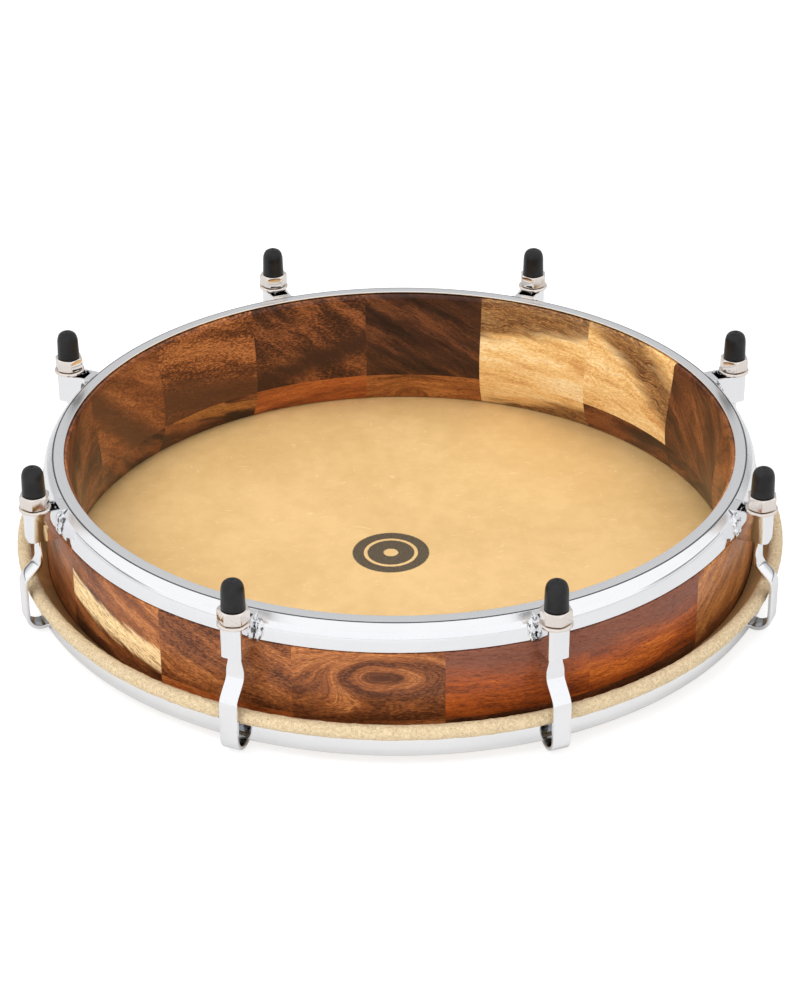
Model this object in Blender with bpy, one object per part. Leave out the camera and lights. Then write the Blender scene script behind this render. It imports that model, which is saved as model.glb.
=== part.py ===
"""Tunable frame drum lying head down: wooden shell, welded back ring and eight hook tuners.

Units are metres, +Z points from the head towards the open back, and Z = 0 is the head's outer face.
"""

import math

import bmesh
import bpy

MM = 0.001

# Whole drum
STATIONS = 8
FIRST_STATION_DEG = 22.5
RING_SEGMENTS = 72
BOLT_CIRCLE_R = 187.4

# Shell: turned from two courses of glued blocks, waisted inside, chamfered towards the head
SHELL_OUTER_R = 178.2
SHELL_PROFILE = (
    (166.4, 64.2),
    (165.3, 63.7),
    (164.8, 62.6),
    (164.3, 56.0),
    (162.3, 42.0),
    (161.0, 29.5),
    (161.6, 18.0),
    (163.4, 10.5),
    (167.2, 1.9),
    (168.4, 1.0),
    (176.6, 1.0),
    (SHELL_OUTER_R, 2.2),
    (SHELL_OUTER_R, 53.0),
    (177.6, 53.6),
    (176.1, 53.6),
    (176.0, 56.6),
    (175.2, 60.4),
    (173.9, 62.9),
    (172.0, 64.2),
)

# Back ring: a flange over the shell's end and a rounded band in a rebate round its side
BAND_OUTSIDE = (
    (172.4, 66.6),
    (173.0, 66.3),
    (174.1, 65.4),
    (175.6, 63.4),
    (176.8, 60.5),
    (177.4, 57.0),
    (177.6, 53.9),
)
BAND_INSIDE = (
    (176.4, 53.9),
    (176.3, 56.6),
    (175.5, 60.5),
    (174.3, 63.1),
    (172.3, 64.5),
)
FLANGE_INNER_EDGE = ((166.6, 65.3), (166.6, 67.0), (167.1, 67.3))

# Counter hoop: a plain band that pushes the wrapped hoop towards the back ring
HOOP_INNER_R = 185.6
HOOP_OUTER_R = 188.1
HOOP_BOTTOM_Z = 5.4
HOOP_TOP_Z = 15.5
HOOP_EDGE = 0.6

# Flesh hoop and the skin that wraps round it
ROLL_R = 189.3
ROLL_Z = 19.2
ROLL_SKIN_RADIUS = 3.5
ROLL_SKIN_INSIDE = 2.5
FLESH_HOOP_RADIUS = 2.2
FLESH_HOOP_SIDES = 8
SKIN_THICKNESS = 0.7
SKIN_WALL_R = 179.3
SKIN_WALL_TOP_Z = 12.5
WRAP_ANGLES_DEG = (190, 160, 130, 100, 70, 40, 10, -20, -50, -80, -110)

# Lug: a strap round the bolt with a solid tab against the flange
LUG_HALF_WIDTH = 5.4
LUG_CORNER_RADIUS = 2.6
LUG_BOTTOM_Z = 51.1
LUG_TOP_Z = 66.5
LUG_SLOT_HALF_WIDTH = 4.35
LUG_SLOT_INNER_R = 176.4
LUG_CORNER_STEPS = 4
LUG_SLOT_STEPS = 4
WELD_GAP = 0.3

# Hook bolt: round threaded end above, flat strip below, bent outwards and then under the hoop
BOLT_RADIUS = 3.95
BOLT_END_Z = 83.8
STRIP_THICKNESS = 2.1
STRIP_WIDTH = 9.0
NECK_WIDTH = 6.8
LEG_R = 196.0
CURL_R = 189.3
CURL_Z = 9.6
CURL_RADIUS = 6.7
TIP_Z = 11.6

# Washer, nut and cap
WASHER_OUTER_RADIUS = 7.75
WASHER_HOLE_RADIUS = 4.4
WASHER_BOTTOM_Z = 66.8
WASHER_TOP_Z = 68.4
NUT_ACROSS_FLATS = 13.0
NUT_HOLE_RADIUS = 4.25
NUT_BOTTOM_Z = 68.7
NUT_TOP_Z = 75.2
NUT_CHAMFER_RADIUS = 6.3
CAP_PROFILE = (
    (4.3, 75.5),
    (5.5, 75.5),
    (5.65, 76.3),
    (5.5, 81.0),
    (5.4, 84.2),
    (5.1, 86.2),
    (4.4, 87.9),
    (3.2, 89.0),
    (1.5, 89.5),
    (0.0, 89.5),
)
CAP_CAVITY_TOP_Z = 85.6


def clear_scene():
    for obj in list(bpy.data.objects):
        bpy.data.objects.remove(obj, do_unlink=True)


def make_material(name, color, metallic, roughness):
    material = bpy.data.materials.new(name)
    material.use_nodes = True
    shader = material.node_tree.nodes["Principled BSDF"]
    shader.inputs["Base Color"].default_value = (*color, 1.0)
    shader.inputs["Metallic"].default_value = metallic
    shader.inputs["Roughness"].default_value = roughness
    return material


def finish(mesh, bm, smooth_below_deg=35.0):
    """Writes the bmesh with outward normals, smooth where faces meet at a small angle."""
    bmesh.ops.recalc_face_normals(bm, faces=bm.faces[:])
    for face in bm.faces:
        face.smooth = True
    for edge in bm.edges:
        if len(edge.link_faces) == 2:
            edge.smooth = edge.calc_face_angle() < math.radians(smooth_below_deg)
    bm.to_mesh(mesh)
    bm.free()
    return mesh


def bridge(bm, lower, upper):
    """Faces between two rings of vertices, where a ring of one vertex is a pole."""
    count = max(len(lower), len(upper))
    for i in range(count):
        j = (i + 1) % count
        corners = [lower[i % len(lower)], lower[j % len(lower)], upper[j % len(upper)], upper[i % len(upper)]]
        unique = list(dict.fromkeys(corners))
        if len(unique) > 2:
            bm.faces.new(unique)


def revolve(name, profile, segments, closed=True, start_deg=0.0):
    """Turns a profile of (radius, height) pairs in millimetres round the Z axis."""
    bm = bmesh.new()
    rings = []
    for radius, height in profile:
        if radius < 1e-6:
            rings.append([bm.verts.new((0.0, 0.0, height * MM))])
            continue
        ring = []
        for i in range(segments):
            turn = math.radians(start_deg) + 2.0 * math.pi * i / segments
            ring.append(bm.verts.new((radius * MM * math.cos(turn), radius * MM * math.sin(turn), height * MM)))
        rings.append(ring)
    for lower, upper in zip(rings, rings[1:]):
        bridge(bm, lower, upper)
    if closed:
        bridge(bm, rings[-1], rings[0])
    return finish(bpy.data.meshes.new(name), bm)


def prism(name, outline, bottom_z, top_z):
    """Extrudes an outline of (x, y) pairs in millimetres between two heights."""
    bm = bmesh.new()
    lower = [bm.verts.new((x * MM, y * MM, bottom_z * MM)) for x, y in outline]
    upper = [bm.verts.new((x * MM, y * MM, top_z * MM)) for x, y in outline]
    bridge(bm, lower, upper)
    bm.faces.new(lower)
    bm.faces.new(upper)
    return finish(bpy.data.meshes.new(name), bm)


def loft(name, sections):
    """Skins closed rings of points in millimetres and caps both ends."""
    bm = bmesh.new()
    rings = [[bm.verts.new([c * MM for c in point]) for point in section] for section in sections]
    for lower, upper in zip(rings, rings[1:]):
        bridge(bm, lower, upper)
    bm.faces.new(rings[0])
    bm.faces.new(rings[-1])
    return finish(bpy.data.meshes.new(name), bm)


def add_object(name, mesh, material, radius=0.0, turn_deg=0.0):
    """Adds an object whose origin lies on the Z axis, or on the bolt axis at this radius and angle."""
    obj = bpy.data.objects.new(name, mesh)
    bpy.context.scene.collection.objects.link(obj)
    turn = math.radians(turn_deg)
    obj.location = (radius * MM * math.cos(turn), radius * MM * math.sin(turn), 0.0)
    obj.rotation_euler = (0.0, 0.0, turn)
    if not mesh.materials:
        mesh.materials.append(material)
    return obj


def subtract(mesh_name, base, cutters):
    """The mesh left when the cutters are taken from the base; all helper objects are removed."""
    scene = bpy.context.scene.collection
    target = bpy.data.objects.new("cut_target", base)
    scene.objects.link(target)
    helpers = []
    for number, cutter_mesh in enumerate(cutters):
        cutter = bpy.data.objects.new(f"cutter_{number}", cutter_mesh)
        scene.objects.link(cutter)
        modifier = target.modifiers.new(f"cut_{number}", "BOOLEAN")
        modifier.operation = "DIFFERENCE"
        modifier.solver = "EXACT"
        modifier.object = cutter
        helpers.append(cutter)
    bpy.context.view_layer.update()
    graph = bpy.context.evaluated_depsgraph_get()
    result = bpy.data.meshes.new_from_object(target.evaluated_get(graph))
    result.name = mesh_name
    for helper in [*helpers, target]:
        bpy.data.objects.remove(helper, do_unlink=True)
    bm = bmesh.new()
    bm.from_mesh(result)
    bmesh.ops.remove_doubles(bm, verts=bm.verts[:], dist=1e-6)
    result.materials.clear()
    return finish(result, bm)


def head_profile():
    """Half section of the skin: flat head, wall outside the shell, and the wrap round the flesh hoop."""
    inner_wall_r = SKIN_WALL_R - SKIN_THICKNESS
    outer_arc = []
    inner_arc = []
    for degrees in WRAP_ANGLES_DEG:
        turn = math.radians(degrees)
        outer_arc.append((ROLL_R + ROLL_SKIN_RADIUS * math.cos(turn), ROLL_Z + ROLL_SKIN_RADIUS * math.sin(turn)))
        inner_arc.append((ROLL_R + ROLL_SKIN_INSIDE * math.cos(turn), ROLL_Z + ROLL_SKIN_INSIDE * math.sin(turn)))
    profile = [(0.0, SKIN_THICKNESS), (inner_wall_r, SKIN_THICKNESS), (inner_wall_r, SKIN_WALL_TOP_Z + 0.3)]
    profile += outer_arc
    profile += reversed(inner_arc)
    profile += [(SKIN_WALL_R, SKIN_WALL_TOP_Z), (SKIN_WALL_R, 1.2), (SKIN_WALL_R - 1.2, 0.0), (0.0, 0.0)]
    return profile


def hoop_profile():
    edge = HOOP_EDGE
    return [
        (HOOP_INNER_R, HOOP_BOTTOM_Z + edge),
        (HOOP_INNER_R + edge, HOOP_BOTTOM_Z),
        (HOOP_OUTER_R - edge, HOOP_BOTTOM_Z),
        (HOOP_OUTER_R, HOOP_BOTTOM_Z + edge),
        (HOOP_OUTER_R, HOOP_TOP_Z - edge),
        (HOOP_OUTER_R - edge, HOOP_TOP_Z),
        (HOOP_INNER_R + edge, HOOP_TOP_Z),
        (HOOP_INNER_R, HOOP_TOP_Z - edge),
    ]


def circle_profile(centre_r, centre_z, radius, sides):
    points = []
    for i in range(sides):
        turn = 2.0 * math.pi * i / sides
        points.append((centre_r + radius * math.cos(turn), centre_z + radius * math.sin(turn)))
    return points


def rounded_end_outline(inner_x, half_width, corner_radius, corner_steps):
    """A rectangle from inner_x to half_width beyond the bolt axis at x = 0, with two rounded corners there."""
    outline = [(inner_x, -half_width)]
    centre = half_width - corner_radius
    for side in (-1, 1):
        for i in range(corner_steps + 1):
            turn = 0.5 * math.pi * (i / corner_steps + (side - 1) / 2)
            outline.append((centre + corner_radius * math.cos(turn), side * centre + corner_radius * math.sin(turn)))
    outline.append((inner_x, half_width))
    return list(dict.fromkeys(outline))


def lug_mesh():
    """Strap lug in bolt coordinates: x points away from the drum's axis, which is at x = -BOLT_CIRCLE_R."""
    outline = rounded_end_outline(170.0 - BOLT_CIRCLE_R, LUG_HALF_WIDTH, LUG_CORNER_RADIUS, LUG_CORNER_STEPS)
    slot_x = LUG_SLOT_INNER_R - BOLT_CIRCLE_R
    slot = rounded_end_outline(slot_x, LUG_SLOT_HALF_WIDTH, LUG_SLOT_HALF_WIDTH, LUG_SLOT_STEPS)
    lower_edge_z = BAND_OUTSIDE[-1][1]
    band = [(150.0, LUG_BOTTOM_Z - 5.0), (SHELL_OUTER_R + WELD_GAP, LUG_BOTTOM_Z - 5.0)]
    band.append((SHELL_OUTER_R + WELD_GAP, lower_edge_z))
    band += [(r + WELD_GAP, z) for r, z in reversed(BAND_OUTSIDE)]
    band += [(BAND_OUTSIDE[0][0] + WELD_GAP, LUG_TOP_Z + 5.0), (150.0, LUG_TOP_Z + 5.0)]
    half_facet = 180.0 / RING_SEGMENTS
    band_cutter = revolve("band_cutter", band, RING_SEGMENTS, start_deg=half_facet)
    for vertex in band_cutter.vertices:
        vertex.co.x -= BOLT_CIRCLE_R * MM
    body = prism("lug_body", outline, LUG_BOTTOM_Z, LUG_TOP_Z)
    hole = prism("lug_slot", slot, LUG_BOTTOM_Z - 5.0, LUG_TOP_Z + 5.0)
    return subtract("lug", body, [hole, band_cutter])


def round_section(radius):
    return [(radius * math.cos(math.radians(a)), radius * math.sin(math.radians(a))) for a in range(0, 360, 30)]


def strip_section(width, thickness):
    """Twelve points of a flat strip with eased edges, in the same order as round_section."""
    u = width / 2.0
    v = thickness / 2.0
    corner = u - 0.35
    half = [(u, 0.0), (corner, v), (corner / 2.0, v), (0.0, v), (-corner / 2.0, v), (-corner, v)]
    return half + [(-a, -b) for a, b in half]


def hook_mesh():
    """Hook bolt in bolt coordinates, lofted from round sections into a flat strip."""
    leg_x = LEG_R - BOLT_CIRCLE_R
    curl_x = CURL_R - BOLT_CIRCLE_R
    steps = [
        (0.0, BOLT_END_Z, round_section(BOLT_RADIUS - 0.7)),
        (0.0, BOLT_END_Z - 0.7, round_section(BOLT_RADIUS)),
        (0.0, 50.6, round_section(BOLT_RADIUS)),
        (0.0, 48.9, strip_section(7.4, 4.6)),
        (0.0, 47.2, strip_section(NECK_WIDTH, 2.5)),
        (0.0, 44.8, strip_section(7.8, STRIP_THICKNESS)),
        (0.0, 41.6, strip_section(STRIP_WIDTH, STRIP_THICKNESS)),
        (0.2, 38.8, strip_section(STRIP_WIDTH, STRIP_THICKNESS)),
        (1.5, 36.8, strip_section(STRIP_WIDTH, STRIP_THICKNESS)),
        (leg_x - 1.5, 31.0, strip_section(STRIP_WIDTH, STRIP_THICKNESS)),
        (leg_x - 0.2, 29.0, strip_section(STRIP_WIDTH, STRIP_THICKNESS)),
        (leg_x, 26.6, strip_section(STRIP_WIDTH, STRIP_THICKNESS)),
    ]
    for degrees in (0, 30, 60, 90, 120, 150, 180):
        turn = math.radians(degrees)
        x = curl_x + CURL_RADIUS * math.cos(turn)
        z = CURL_Z - CURL_RADIUS * math.sin(turn)
        steps.append((x, z, strip_section(STRIP_WIDTH, STRIP_THICKNESS)))
    steps.append((curl_x - CURL_RADIUS, TIP_Z, strip_section(STRIP_WIDTH - 1.0, STRIP_THICKNESS)))
    sections = []
    for i, (x, z, outline) in enumerate(steps):
        before = steps[max(i - 1, 0)]
        after = steps[min(i + 1, len(steps) - 1)]
        along = math.atan2(after[1] - before[1], after[0] - before[0])
        if i < 5:
            along = -math.pi / 2.0
        across_x = -math.sin(along)
        across_z = math.cos(along)
        sections.append([(x + v * across_x, u, z + v * across_z) for u, v in outline])
    return loft("hook_bolt", sections)


def nut_mesh():
    """Hexagonal nut with chamfered corners and a plain bore for the thread."""
    sides = 12
    rings = []
    half_flats = NUT_ACROSS_FLATS / 2.0

    def ring(radii, heights):
        points = []
        for i in range(sides):
            turn = 2.0 * math.pi * i / sides
            points.append((radii[i] * math.cos(turn), radii[i] * math.sin(turn), heights[i]))
        return points

    hexagon = [half_flats if i % 2 else half_flats / math.cos(math.pi / 6.0) for i in range(sides)]
    drop = [(radius - NUT_CHAMFER_RADIUS) * math.tan(math.pi / 6.0) for radius in hexagon]
    bore = [NUT_HOLE_RADIUS] * sides
    shoulder = [NUT_CHAMFER_RADIUS] * sides
    rings.append(ring(bore, [NUT_BOTTOM_Z] * sides))
    rings.append(ring(shoulder, [NUT_BOTTOM_Z] * sides))
    rings.append(ring(hexagon, [NUT_BOTTOM_Z + d for d in drop]))
    rings.append(ring(hexagon, [NUT_TOP_Z - d for d in drop]))
    rings.append(ring(shoulder, [NUT_TOP_Z] * sides))
    rings.append(ring(bore, [NUT_TOP_Z] * sides))
    bm = bmesh.new()
    made = [[bm.verts.new([c * MM for c in point]) for point in points] for points in rings]
    for lower, upper in zip(made, made[1:] + made[:1]):
        bridge(bm, lower, upper)
    return finish(bpy.data.meshes.new("tuning_nut"), bm, smooth_below_deg=10.0)


def washer_profile():
    return [
        (WASHER_HOLE_RADIUS, WASHER_BOTTOM_Z),
        (WASHER_OUTER_RADIUS, WASHER_BOTTOM_Z),
        (WASHER_OUTER_RADIUS, WASHER_TOP_Z),
        (WASHER_HOLE_RADIUS, WASHER_TOP_Z),
    ]


def cap_profile():
    return [(0.0, CAP_CAVITY_TOP_Z), (CAP_PROFILE[0][0], CAP_CAVITY_TOP_Z), *CAP_PROFILE]


def build():
    clear_scene()
    wood = make_material("wood", (0.32, 0.12, 0.045), 0.0, 0.25)
    chrome = make_material("chrome", (0.86, 0.87, 0.88), 1.0, 0.08)
    nickel = make_material("nickel", (0.80, 0.74, 0.68), 1.0, 0.22)
    skin = make_material("skin", (0.80, 0.58, 0.33), 0.0, 0.6)
    rubber = make_material("rubber", (0.03, 0.03, 0.03), 0.0, 0.45)

    add_object("shell", revolve("shell", SHELL_PROFILE, RING_SEGMENTS), wood)
    ring_profile = [*FLANGE_INNER_EDGE, *BAND_OUTSIDE, *BAND_INSIDE]
    add_object("back_ring", revolve("back_ring", ring_profile, RING_SEGMENTS), chrome)
    add_object("counter_hoop", revolve("counter_hoop", hoop_profile(), RING_SEGMENTS), chrome)
    flesh_profile = circle_profile(ROLL_R, ROLL_Z, FLESH_HOOP_RADIUS, FLESH_HOOP_SIDES)
    add_object("flesh_hoop", revolve("flesh_hoop", flesh_profile, RING_SEGMENTS), nickel)
    add_object("drum_head", revolve("drum_head", head_profile(), RING_SEGMENTS, closed=False), skin)

    pieces = (
        ("lug", lug_mesh(), chrome),
        ("hook_bolt", hook_mesh(), chrome),
        ("washer", revolve("washer", washer_profile(), 16), nickel),
        ("tuning_nut", nut_mesh(), nickel),
        ("rubber_cap", revolve("rubber_cap", cap_profile(), 14, closed=False), rubber),
    )
    for number in range(STATIONS):
        turn_deg = FIRST_STATION_DEG + number * 360.0 / STATIONS
        for name, mesh, material in pieces:
            add_object(f"{name}_{number + 1}", mesh, material, BOLT_CIRCLE_R, turn_deg)


build()
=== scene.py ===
"""A tunable hand drum lying head down: glued shell, welded back ring, skin head and eight hook tuners.

Metres throughout, +Z points from the head towards the open back. Shapes are listed in millimetres.
"""

import math

import bpy
from mathutils import Matrix, Quaternion, Vector


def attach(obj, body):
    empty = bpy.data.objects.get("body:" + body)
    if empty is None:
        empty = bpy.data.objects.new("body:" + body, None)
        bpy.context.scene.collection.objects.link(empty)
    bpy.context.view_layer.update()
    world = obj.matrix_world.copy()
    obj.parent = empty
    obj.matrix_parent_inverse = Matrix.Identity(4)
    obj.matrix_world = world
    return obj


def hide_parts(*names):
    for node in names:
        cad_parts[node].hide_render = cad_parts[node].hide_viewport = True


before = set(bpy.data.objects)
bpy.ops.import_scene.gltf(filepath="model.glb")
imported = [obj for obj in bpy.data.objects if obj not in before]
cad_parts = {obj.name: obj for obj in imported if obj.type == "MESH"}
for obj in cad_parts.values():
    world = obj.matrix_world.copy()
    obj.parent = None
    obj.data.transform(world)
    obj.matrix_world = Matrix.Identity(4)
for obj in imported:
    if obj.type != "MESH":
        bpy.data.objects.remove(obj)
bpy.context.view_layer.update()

MM = 0.001
CM_PER_M = 100.0

# The tuners stand evenly round the drum; each hexagon nut was left at its own turn
STATIONS = 8
FIRST_STATION = math.radians(22.5)
BOLT_CIRCLE = 187.4
NUT_TURNS_DEG = (-17.0, -9.0, -12.0, -21.0, -27.0, 22.0, 24.0, 19.0)

# The shell is glued up from blocks in two courses; the first glue line is just right of the front
BLOCKS = 16
BLOCK_ANGLE = 2.0 * math.pi / BLOCKS
FIRST_SEAM = math.radians(7.3 - 90.0)
COURSE_HEIGHT = 0.0182
SHELL_RADIUS_CM = 17.8

# The back ring is satin where it faces up this much, with a thin line of painted shade along the seam
# between flange and band
SATIN_FACING = 0.62
SEAM_INNER = 171.75
SEAM_OUTER = 172.55

# The hide's rolled edge, round the flesh hoop
ROLL_CENTRE = (189.3, 19.2)
ROLL_OUTER = 3.5
ROLL_INNER = 2.5
ROLL_REACH = 4.5
FUZZ_DEPTH = 3.4
FUZZ_INNER = 185.6

# The hook's strip, in its bolt's own frame: +X points away from the drum's axis
STRIP_WIDTH = 9.0
STRIP_THICKNESS = 2.1
NECK_WIDTH = 6.8
NECK_TOP = 48.6
NECK_FOOT = 41.4
LEG_REACH = 8.6
CURL_CENTRE = (1.9, 9.6)
CURL_RADIUS = 6.7
# Faces closer than this to the curl's centre wear darker chrome as painted shade
CURL_INSIDE = 5.9
CURL_TIP = (-4.8, 11.6)
TIP_NARROWING = 0.88

# Bolt, nut and lug
BOLT_RADIUS = 3.94
THREAD_ROOT = 3.66
THREAD_PITCH = 1.25
THREAD_FOOT = 66.6
THREAD_END = 82.6
NUT_ACROSS_FLATS = 13.0
NUT_HEIGHT = 6.5
NUT_MIDDLE = 71.95
LUG_HALF_WIDTH = 5.4
LUG_BORE = 4.35

# The weld beads either side of a lug, in the bolt's frame
BEAD_SIZE = (1.3, 1.75, 6.2)
BEAD_PLACE = (-10.5, 6.9, 59.4)
BEAD_LEAN = math.radians(-11.0)


# ---------------------------------------------------------------- workshop tools


def nothing_selected():
    bpy.ops.object.select_all(action="DESELECT")


def name_piece(name):
    piece = bpy.context.active_object
    piece.name = name
    piece.data.name = name
    return piece


def pick_points(piece, wanted):
    """Selects the points for which wanted(place) is true, in edit mode."""
    bpy.ops.mesh.select_all(action="DESELECT")
    bpy.ops.mesh.select_mode(type="VERT")
    bpy.ops.object.mode_set(mode="OBJECT")
    for vertex in piece.data.vertices:
        vertex.select = bool(wanted(vertex.co))
    bpy.ops.object.mode_set(mode="EDIT")


def draw_line(name, places):
    """One point, drawn out along these places in edit mode, which stays on."""
    nothing_selected()
    bpy.ops.mesh.primitive_plane_add(size=0.002, location=(0.0, 0.0, 0.0))
    piece = name_piece(name)
    bpy.ops.object.mode_set(mode="EDIT")
    bpy.ops.mesh.select_all(action="SELECT")
    bpy.ops.mesh.merge(type="CENTER")
    bpy.ops.transform.translate(value=places[0])
    for before, after in zip(places, places[1:]):
        bpy.ops.mesh.extrude_region_move(TRANSFORM_OT_translate={"value": after - before})
    return piece


def close_skin(piece, smooth_deg):
    """Merges what meets, turns the faces outwards and shades the piece."""
    bpy.ops.mesh.select_all(action="SELECT")
    bpy.ops.mesh.remove_doubles(threshold=2e-6)
    bpy.ops.mesh.normals_make_consistent(inside=False)
    bpy.ops.object.mode_set(mode="OBJECT")
    shade(piece, smooth_deg)


def shade(piece, smooth_deg):
    nothing_selected()
    piece.select_set(True)
    bpy.context.view_layer.objects.active = piece
    bpy.ops.object.transform_apply(location=True, rotation=True, scale=True)
    bpy.ops.object.shade_smooth_by_angle(angle=math.radians(smooth_deg))


def turned(name, outline, steps, closed=True, start=0.0, smooth_deg=30.0):
    """Spins a half section of (radius, height) pairs once round the drum's axis."""
    across = Vector((math.cos(start), math.sin(start), 0.0))
    places = [(across * radius + Vector((0.0, 0.0, height))) * MM for radius, height in outline]
    piece = draw_line(name, places)
    if closed:
        ends = (places[0], places[-1])
        pick_points(piece, lambda place: min((place - end).length for end in ends) < 1e-6)
        bpy.ops.mesh.edge_face_add()
    bpy.ops.mesh.select_all(action="SELECT")
    bpy.ops.mesh.spin(steps=steps, angle=2.0 * math.pi, center=(0.0, 0.0, 0.0), axis=(0.0, 0.0, 1.0))
    close_skin(piece, smooth_deg)
    return piece


def finish_with(piece, kind, **settings):
    """Adds a modifier, sets it up and applies it."""
    nothing_selected()
    piece.select_set(True)
    bpy.context.view_layer.objects.active = piece
    modifier = piece.modifiers.new(kind.lower(), kind)
    for key, value in settings.items():
        setattr(modifier, key, value)
    bpy.ops.object.modifier_apply(modifier=modifier.name)


def soften_edges(piece, width, segments, sharper_than_deg):
    """Rounds the edges that turn by more than this."""
    limit = math.radians(sharper_than_deg)
    finish_with(piece, "BEVEL", width=width * MM, segments=segments, limit_method="ANGLE", angle_limit=limit)


def add_lumps(piece, name, lumps, depth, **settings):
    """Pushes the surface in and out by soft noise; lumps are (size, height) in metres."""
    for number, (size, height) in enumerate(lumps):
        noise = bpy.data.textures.new(f"{name}_{number}", "CLOUDS")
        noise.noise_scale = size
        noise.noise_depth = depth
        settings.update(texture=noise, strength=height, mid_level=0.5, texture_coords="LOCAL")
        finish_with(piece, "DISPLACE", **settings)
        bpy.data.textures.remove(noise)


def carve(piece, cutter, operation="DIFFERENCE"):
    """Cuts piece with cutter, or joins or keeps what they share, and throws the cutter away."""
    finish_with(piece, "BOOLEAN", operation=operation, solver="EXACT", object=cutter)
    bpy.data.objects.remove(cutter, do_unlink=True)


def softly(points, parts=5):
    """A smooth line through these points, with this many parts between neighbours."""
    line = []
    for i in range(len(points) - 1):
        a = Vector(points[max(i - 1, 0)])
        b = Vector(points[i])
        c = Vector(points[i + 1])
        d = Vector(points[min(i + 2, len(points) - 1)])
        for k in range(parts):
            t = k / parts
            bend = 2.0 * b + (c - a) * t
            bend += (2.0 * a - 5.0 * b + 4.0 * c - d) * t * t
            bend += (3.0 * b - a - 3.0 * c + d) * t ** 3
            line.append(tuple(bend * 0.5))
    line.append(tuple(points[-1]))
    return line


def arc(centre, radius, first_deg, last_deg, parts):
    """Points round a centre, in (radius, height) or any other plane."""
    points = []
    for i in range(parts + 1):
        turn = math.radians(first_deg + (last_deg - first_deg) * i / parts)
        points.append((centre[0] + radius * math.cos(turn), centre[1] + radius * math.sin(turn)))
    return points


def eased_box(left, right, low, high, edge, parts=4):
    """A rectangle with rounded corners."""
    points = arc((left + edge, low + edge), edge, 180.0, 270.0, parts)
    points += arc((right - edge, low + edge), edge, 270.0, 360.0, parts)
    points += arc((right - edge, high - edge), edge, 0.0, 90.0, parts)
    points += arc((left + edge, high - edge), edge, 90.0, 180.0, parts)
    return points


# ---------------------------------------------------------------- node helpers


def put(tree, kind, inputs=None, **settings):
    """Adds a node; each input is a value or the socket that feeds it."""
    node = tree.nodes.new(kind)
    for key, value in settings.items():
        setattr(node, key, value)
    for key, value in (inputs or {}).items():
        if isinstance(value, bpy.types.NodeSocket):
            tree.links.new(value, node.inputs[key])
        else:
            node.inputs[key].default_value = value
    return node


def sums(tree, operation, first, second=0.0, third=None, clamp=False):
    """A maths node's result."""
    inputs = {0: first, 1: second}
    if third is not None:
        inputs[2] = third
    return put(tree, "ShaderNodeMath", inputs, operation=operation, use_clamp=clamp).outputs[0]


def place_sum(tree, operation, first, second):
    """ADD, SUBTRACT or MULTIPLY of two places."""
    return put(tree, "ShaderNodeVectorMath", {0: first, 1: second}, operation=operation).outputs[0]


def stretch(tree, place, factors):
    return place_sum(tree, "MULTIPLY", place, factors)


def join_place(tree, x, y, z):
    return put(tree, "ShaderNodeCombineXYZ", {0: x, 1: y, 2: z}).outputs[0]


def split_place(tree, place):
    return put(tree, "ShaderNodeSeparateXYZ", {0: place}).outputs


def lean_place(tree, place, angle):
    """Turns a place about the Z axis."""
    inputs = {"Vector": place, "Angle": angle}
    return put(tree, "ShaderNodeVectorRotate", inputs, rotation_type="Z_AXIS").outputs[0]


def reach_of(tree, place):
    """How far a place is from the origin."""
    return put(tree, "ShaderNodeVectorMath", {0: place}, operation="LENGTH").outputs["Value"]


def gap_to(tree, value, middle):
    """How far a value is from this middle, either way."""
    return sums(tree, "ABSOLUTE", sums(tree, "SUBTRACT", value, middle))


def speckle(tree, place, scale, detail=3.0, roughness=0.55):
    """Noise from 0 to 1."""
    inputs = {"Vector": place, "Scale": scale, "Detail": detail, "Roughness": roughness}
    return put(tree, "ShaderNodeTexNoise", inputs).outputs["Fac"]


def between(tree, value, low, high, to_low=0.0, to_high=1.0):
    """Eases a value from low..high to to_low..to_high."""
    inputs = {"Value": value, "From Min": low, "From Max": high, "To Min": to_low, "To Max": to_high}
    return put(tree, "ShaderNodeMapRange", inputs, interpolation_type="SMOOTHSTEP").outputs["Result"]


def blend_numbers(tree, amount, first, second):
    return put(tree, "ShaderNodeMix", {0: amount, 2: first, 3: second}, data_type="FLOAT").outputs[0]


def blend_colours(tree, amount, first, second):
    node = put(tree, "ShaderNodeMix", data_type="RGBA")
    for socket, value in ((node.inputs[0], amount), (node.inputs[6], first), (node.inputs[7], second)):
        if isinstance(value, bpy.types.NodeSocket):
            tree.links.new(value, socket)
        else:
            socket.default_value = value
    return node.outputs[2]


def new_group(name, inputs, outputs):
    """A node group with named sockets; inputs are (name, kind, default)."""
    tree = bpy.data.node_groups.new(name, "ShaderNodeTree")
    for label, kind, default in inputs:
        socket = tree.interface.new_socket(label, in_out="INPUT", socket_type=kind)
        socket.default_value = default
    for label, kind in outputs:
        tree.interface.new_socket(label, in_out="OUTPUT", socket_type=kind)
    return tree, tree.nodes.new("NodeGroupInput").outputs, tree.nodes.new("NodeGroupOutput").inputs


def use_group(tree, group, **values):
    node = tree.nodes.new("ShaderNodeGroup")
    node.node_tree = group
    for key, value in values.items():
        socket = node.inputs[key.replace("_", " ")]
        if isinstance(value, bpy.types.NodeSocket):
            tree.links.new(value, socket)
        else:
            socket.default_value = value
    return node.outputs


def new_material(name, **sockets):
    """A Principled material with plain values; returns it, its tree, shader and Object coordinates."""
    material = bpy.data.materials.new(name)
    material.use_nodes = True
    tree = material.node_tree
    shader = tree.nodes["Principled BSDF"]
    for key, value in sockets.items():
        shader.inputs[key.replace("_", " ")].default_value = value
    place = tree.nodes.new("ShaderNodeTexCoord").outputs["Object"]
    return material, tree, shader, place


def add_bump(tree, shader, strength, distance, height):
    bump = put(tree, "ShaderNodeBump", {"Strength": strength, "Distance": distance, "Height": height})
    tree.links.new(bump.outputs["Normal"], shader.inputs["Normal"])


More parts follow.
